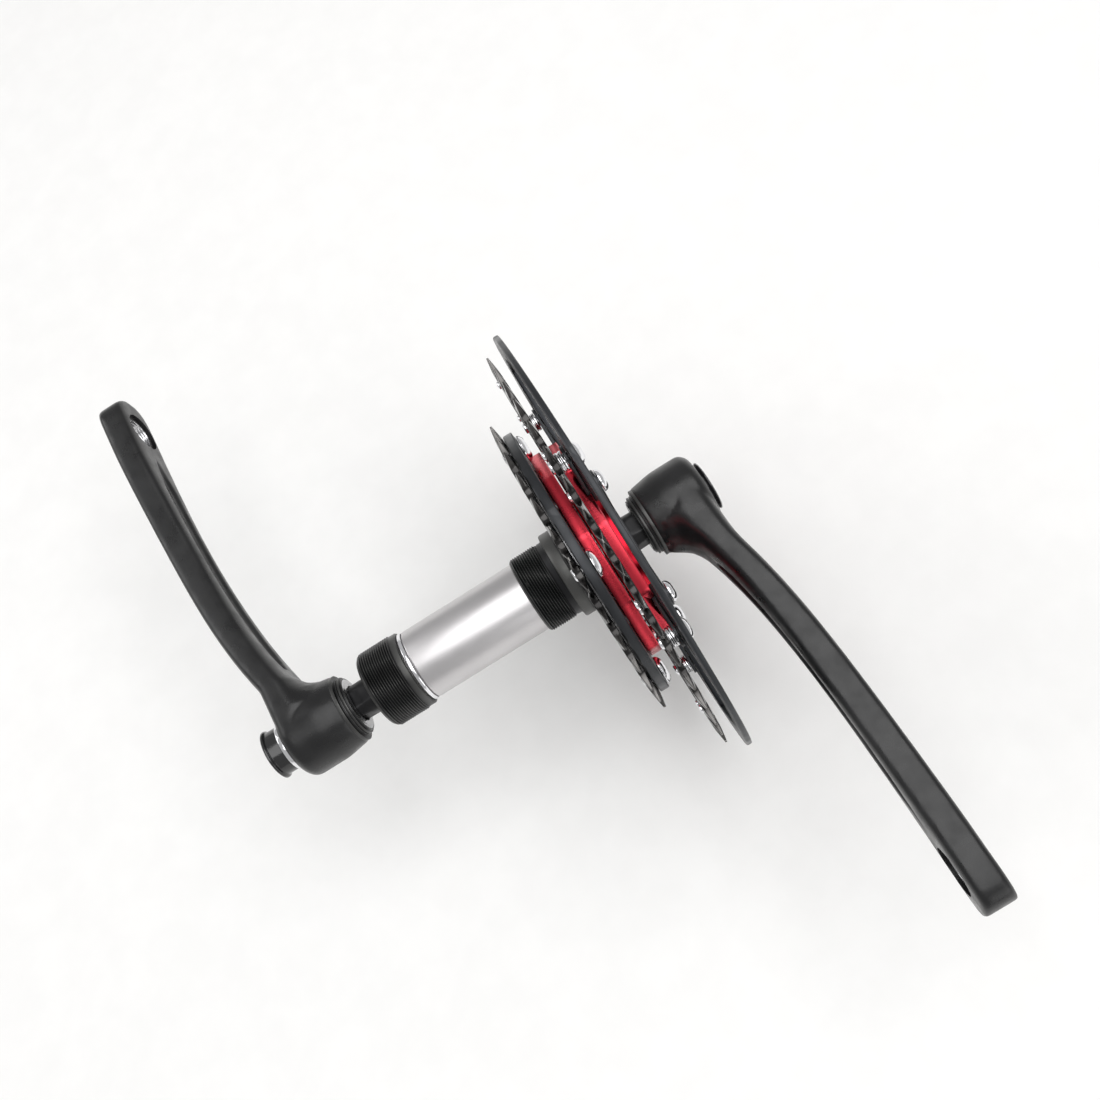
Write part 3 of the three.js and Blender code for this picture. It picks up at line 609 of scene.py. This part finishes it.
def collar_rings(side):
    """The stepped collar on the boss, with fine rings and a bright bevelled face."""
    out, start = side["outward"], side["collar"]

    def at(distance, radius):
        return start + out * distance, radius

    steps = [at(0.5, 8.4), at(0.5, 12.4), at(1.4, 12.4), at(1.4, 13.4), at(2.3, 13.4), at(2.3, 13.0),
             at(2.7, 13.0), at(2.7, 13.5), at(3.6, 13.5), at(3.6, 15.4), at(5, 15.4), at(5, 8.4)]
    made = lathe(f"{side['name']}_collar", steps, 96, ease=0.15)
    piece(made, "spindle_and_cranks", "black_steel")
    face = [at(0, 8.4), at(0, 11.2), at(0.9, 12.3), at(1.2, 12.3), at(1.2, 8.4)]
    made = lathe(f"{side['name']}_collar_face", face, 96, ease=0.08)
    piece(made, "spindle_and_cranks", "bearing_steel")


def dust_cap(side):
    out = side["outward"]
    face = side["collar"] + out * (COLLAR_LENGTH + side["boss"])
    stand = side["cap_stand"]

    def at(distance, radius):
        return face + out * distance, radius

    def facets(x, radius, angle):
        if radius > SOCKET_REACH:
            return radius
        return radius * math.cos(math.pi / 6) / math.cos((angle % (TURN / 6)) - math.pi / 6)

    rim, barrel = stand - side["cap_lip"], side["cap_barrel"]
    profile = [at(-3.7, 8.6), at(-3.7, barrel), at(rim - 0.5, barrel), at(rim, 10.9),
               at(stand - 0.5, CAP_RIM_RADIUS), at(stand, 10.4), at(stand, 8.6), at(stand - 0.4, 7.6),
               at(stand - 0.5, 5), at(stand - 2, 4.9), at(stand - 2, CORE), at(stand - 3, CORE),
               at(stand - 3, 8.6)]
    made = lathe(f"{side['name']}_cap", profile, 96, ease=0.3, shape=facets)
    piece(made, "spindle_and_cranks", "gloss_black_cap", f"{side['name']}_dust_cap")
    washer = [at(-0.2, barrel - 0.5), at(-0.2, 10.9), at(2.2, 10.9), at(2.7, 10.4), at(2.7, barrel - 0.5)]
    if side is LEFT:
        piece(lathe(f"{side['name']}_cap_washer", washer, 96), "spindle_and_cranks", "bright_chrome")
    keep_node(f"{side['name']}_crank_bolt", "bearing_steel")


def dome_bolt(name, node, slot, seat, end, head, height, circle_radius, angle):
    """A domed bolt with a six-sided socket."""
    def socket(x, radius, angle_here):
        if radius > 0.45 * head or x < seat:
            return radius
        return radius * math.cos(math.pi / 6) / math.cos((angle_here % (TURN / 6)) - math.pi / 6)

    profile = [(end, CORE), (end, 2.2), (end + 0.5, 2.6), (seat, 2.6), (seat, head - 0.1),
               (seat + 0.25, head)]
    for i in range(1, 7):
        turn = math.pi / 2 * i / 9
        profile.append((seat + 0.25 + (height - 0.25) * math.sin(turn) / math.sin(math.pi / 3),
                        head * (0.25 + 0.75 * math.cos(turn))))
    socket_floor = seat + height * 0.45
    profile += [(seat + height, 0.44 * head), (socket_floor, 0.42 * head), (socket_floor, CORE)]
    made = lathe(name, profile, 48, closed=False, ease=0.06)
    made.location = (0, *[c * MM for c in polar(circle_radius, angle)])
    piece(made, "chainring_set", slot, node)


def strap(name, node, left, right, radius, angle):
    """A round-ended link between the hub's and the guard's bolt circles."""
    ends = [polar(HUB_CIRCLE, angle), polar(GUARD_CIRCLE, angle)]
    holes = [circle(BOLT_HOLE, end, 24) for end in ends]
    made = plate(name, [strap_outline(radius, angle), *holes], left, right, 0.25)
    piece(made, "chainring_set", "black_anodised", node)


def spacer_sleeve(number, angle):
    profile = [(23.3, 2.8), (23.3, 4.1), (24.2, 4.2), (24.5, 3.95), (24.9, 3.95), (25.2, 4.2),
               (26, 4.1), (26, 2.8)]
    made = lathe(f"sleeve_{number}", profile, 48, ease=0.12)
    made.location = (0, *[c * MM for c in polar(GUARD_CIRCLE, angle)])
    piece(made, "chainring_set", "bright_chrome", f"spacer_sleeve_{number}")


def chain_pins(radius, left, count):
    """Small round-headed pins on a chainring's inner face that lift the chain."""
    for i in range(count):
        angle = CARRIER_BOLT_ANGLE + TURN * (i + 0.3) / count
        profile = [(left + 0.2, CORE), (left + 0.2, 1.7), (left - 0.7, 1.7), (left - 1.0, 1.2),
                   (left - 1.1, CORE)]
        head = lathe(f"shift_pin_{i + 1}", profile, 24, closed=False, ease=0.2)
        head.location = (0, *[c * MM for c in polar(radius, angle)])
        piece(head, "chainring_set", "bright_chrome")


def strap_outline(radius, angle):
    ends = [polar(HUB_CIRCLE, angle), polar(GUARD_CIRCLE, angle)]
    outline = arc(radius, angle + math.pi / 2, angle + 1.5 * math.pi, 16, ends[0])
    return outline + arc(radius, angle - math.pi / 2, angle + math.pi / 2, 16, ends[1])


def hub_plate(name, node, left, right, slotted=False):
    """A ten-sided plate. A slotted one has a seat for each tab in its outer face."""
    corners = [polar(49, HUB_CORNER_ANGLE + TURN * i / 10) for i in range(10)]
    outline = eased(corners, 1.2)
    made = plate(name, [outline, circle(HUB_BORE), *bolt_holes(HUB_CIRCLE, SPOKE_ANGLE)], left, right, 0.5)
    for i in range(SPOKES if slotted else 0):
        seat = plate("seat_tool", [strap_outline(5.7, SPOKE_ANGLE + TURN * i / SPOKES)], 26, right + 2, 0.1)
        cut(made, seat)
    return piece(made, "chainring_set", "red_anodised", node)


def chainring_set():
    ring = plate("small_ring", [toothed(32), fingered(56.5, CARRIER_CIRCLE, 6, CARRIER_BOLT_ANGLE),
                                *bolt_holes(CARRIER_CIRCLE, CARRIER_BOLT_ANGLE, 3.3)], 6.7, 9.5, 0.3)
    piece(thinned(ring, 32), "chainring_set", "dark_chrome", "chainring_32")
    ring = plate("large_ring", [toothed(44), fingered(77, GUARD_CIRCLE, 6.5, SPOKE_ANGLE),
                                *bolt_holes(GUARD_CIRCLE, SPOKE_ANGLE, 3.3)], 20.4, 23.0, 0.3)
    piece(thinned(ring, 44), "chainring_set", "dark_chrome", "chainring_44")
    chain_pins(81, 20.4, 8)
    disc = plate("carrier_disc", [circle(62, count=160), circle(HUB_BORE),
                                  *bolt_holes(CARRIER_CIRCLE, CARRIER_BOLT_ANGLE)], 10, 14, 0.5)
    piece(disc, "chainring_set", "black_anodised", "carrier_ring")
    hub_plate("inner_hub", "red_inner_hub_plate", 14.3, 19.6)
    hub_plate("outer_hub", "red_outer_hub_plate", 23.3, 27.6, slotted=True)
    boss = [(19.9, HUB_BORE), (19.9, 27.4), (20.4, 28), (29.7, 28), (30.2, 27.5), (30.2, HUB_BORE)]
    piece(lathe("hub_boss", boss, 128, ease=0.12), "chainring_set", "red_anodised")
    guard = plate("guard", [circle(98, count=256), fingered(88, HUB_CIRCLE, 6.5, SPOKE_ANGLE)],
                  27.9, 30.2, 0.6)
    piece(guard, "chainring_set", "black_anodised", "guard_ring")
    outlines = [fingered(31, HUB_CIRCLE, 5.4, SPOKE_ANGLE), circle(15.2)]
    cover = plate("cover_plate", outlines, 30.5, 32.9, 0.5)
    piece(cover, "chainring_set", "black_anodised", "outer_plate")
    for i in range(SPOKES):
        angle, number = SPOKE_ANGLE + TURN * i / SPOKES, i + 1
        strap(f"tab_{number}", f"guard_tab_{number}", 26.3, 27.6, 5.4, angle)
        spacer_sleeve(number, angle)
        dome_bolt(f"guard_screw_{number}", f"guard_bolt_{number}", "bright_chrome",
                  30.5, 19.4, 4.8, 2.2, GUARD_CIRCLE, angle)
        dome_bolt(f"hub_screw_{number}", f"hub_bolt_{number}", "bright_chrome",
                  33.2, 11.1, 4.8, 2.4, HUB_CIRCLE, angle)
        dome_bolt(f"carrier_screw_{number}", f"carrier_bolt_{number}", "bright_chrome",
                  14.3, 5.9, 6, 2.6, CARRIER_CIRCLE, CARRIER_BOLT_ANGLE + TURN * i / SPOKES)


def freewheel():
    keep_node("freewheel_ratchet_body", "bearing_steel", 0.08)
    keep_node("freewheel_driver", "black_steel", 0.3)
    keep_node("pawl_ring_spring", "bearing_steel", 0.1)
    for i in range(3):
        keep_node(f"pawl_{i + 1}", "bearing_steel", 0.05)
    ball_set("freewheel_balls_left", "freewheel_ball_set", 13.6, 17.7, 2, 7, 1, "freewheel_left_balls")
    ball_set("freewheel_balls_right", "freewheel_ball_set", 27.4, 17.7, 2, 7, 1, "freewheel_right_balls")
    ball_set("drive_balls", "drive_bearing_ball_set", -6.2, 11.5, 1.9, 7, 1.6, "drive_bearing_balls")
    ball_set("left_balls", "left_bearing_ball_set", -79.8, 11.5, 1.9, 7, 1.6, "left_bearing_balls")


# ------------------------------------------------------------------ floor, light and camera
def floor():
    corners = ((-1, -1), (1, -1), (1, 1), (-1, 1))
    points = [(FLOOR_HALF * x, FLOOR_HALF * y, FLOOR_HEIGHT) for x, y in corners]
    ground = mesh_object("floor", points, [(0, 1, 2, 3)])
    card = surface("floor_card", (0.90, 0.895, 0.885), (0.92, 0.915, 0.905), 0.8, 0.0)
    ground.data.materials.append(card)


def soft_light(name, place, aim, size, power):
    lamp = bpy.data.lights.new(name, "AREA")
    lamp.shape = "SQUARE"
    lamp.size = size
    lamp.energy = power
    obj = bpy.data.objects.new(name, lamp)
    obj.location = place
    obj.rotation_euler = (Vector(aim) - Vector(place)).to_track_quat("-Z", "Y").to_euler()
    bpy.context.scene.collection.objects.link(obj)


def studio():
    floor()
    soft_light("overhead", (0.3, -0.1, 1.5), (0, 0, 0), 1.6, 19)
    soft_light("side", (-1.2, 0.9, 0.9), (0, 0, 0), 1.0, 6)
    soft_light("front", (0.6, -1.4, 0.5), (0, 0, 0), 0.9, 3)
    world = bpy.data.worlds.new("studio")
    world.use_nodes = True
    world.node_tree.nodes["Background"].inputs["Color"].default_value = (1, 1, 1, 1)
    world.node_tree.nodes["Background"].inputs["Strength"].default_value = 0.47
    bpy.context.scene.world = world
    bpy.context.scene.view_settings.view_transform = "Standard"


def camera():
    right = Vector((0.84772, -0.48188, -0.22172))
    up = Vector((0.52930, 0.79585, 0.29405))
    back = right.cross(up)
    data = bpy.data.cameras.new("camera")
    data.lens = 37.106
    data.sensor_width = 36
    obj = bpy.data.objects.new("camera", data)
    turn = Matrix((right, up, back)).transposed().to_4x4()
    obj.matrix_world = Matrix.Translation((0.018252, -0.162310, 0.444262)) @ turn
    bpy.context.scene.collection.objects.link(obj)
    bpy.context.scene.camera = obj


bottom_bracket()
spindle()
for crank in (RIGHT, LEFT):
    crank_arm(crank)
    dust_cap(crank)
freewheel()
chainring_set()
studio()
camera()
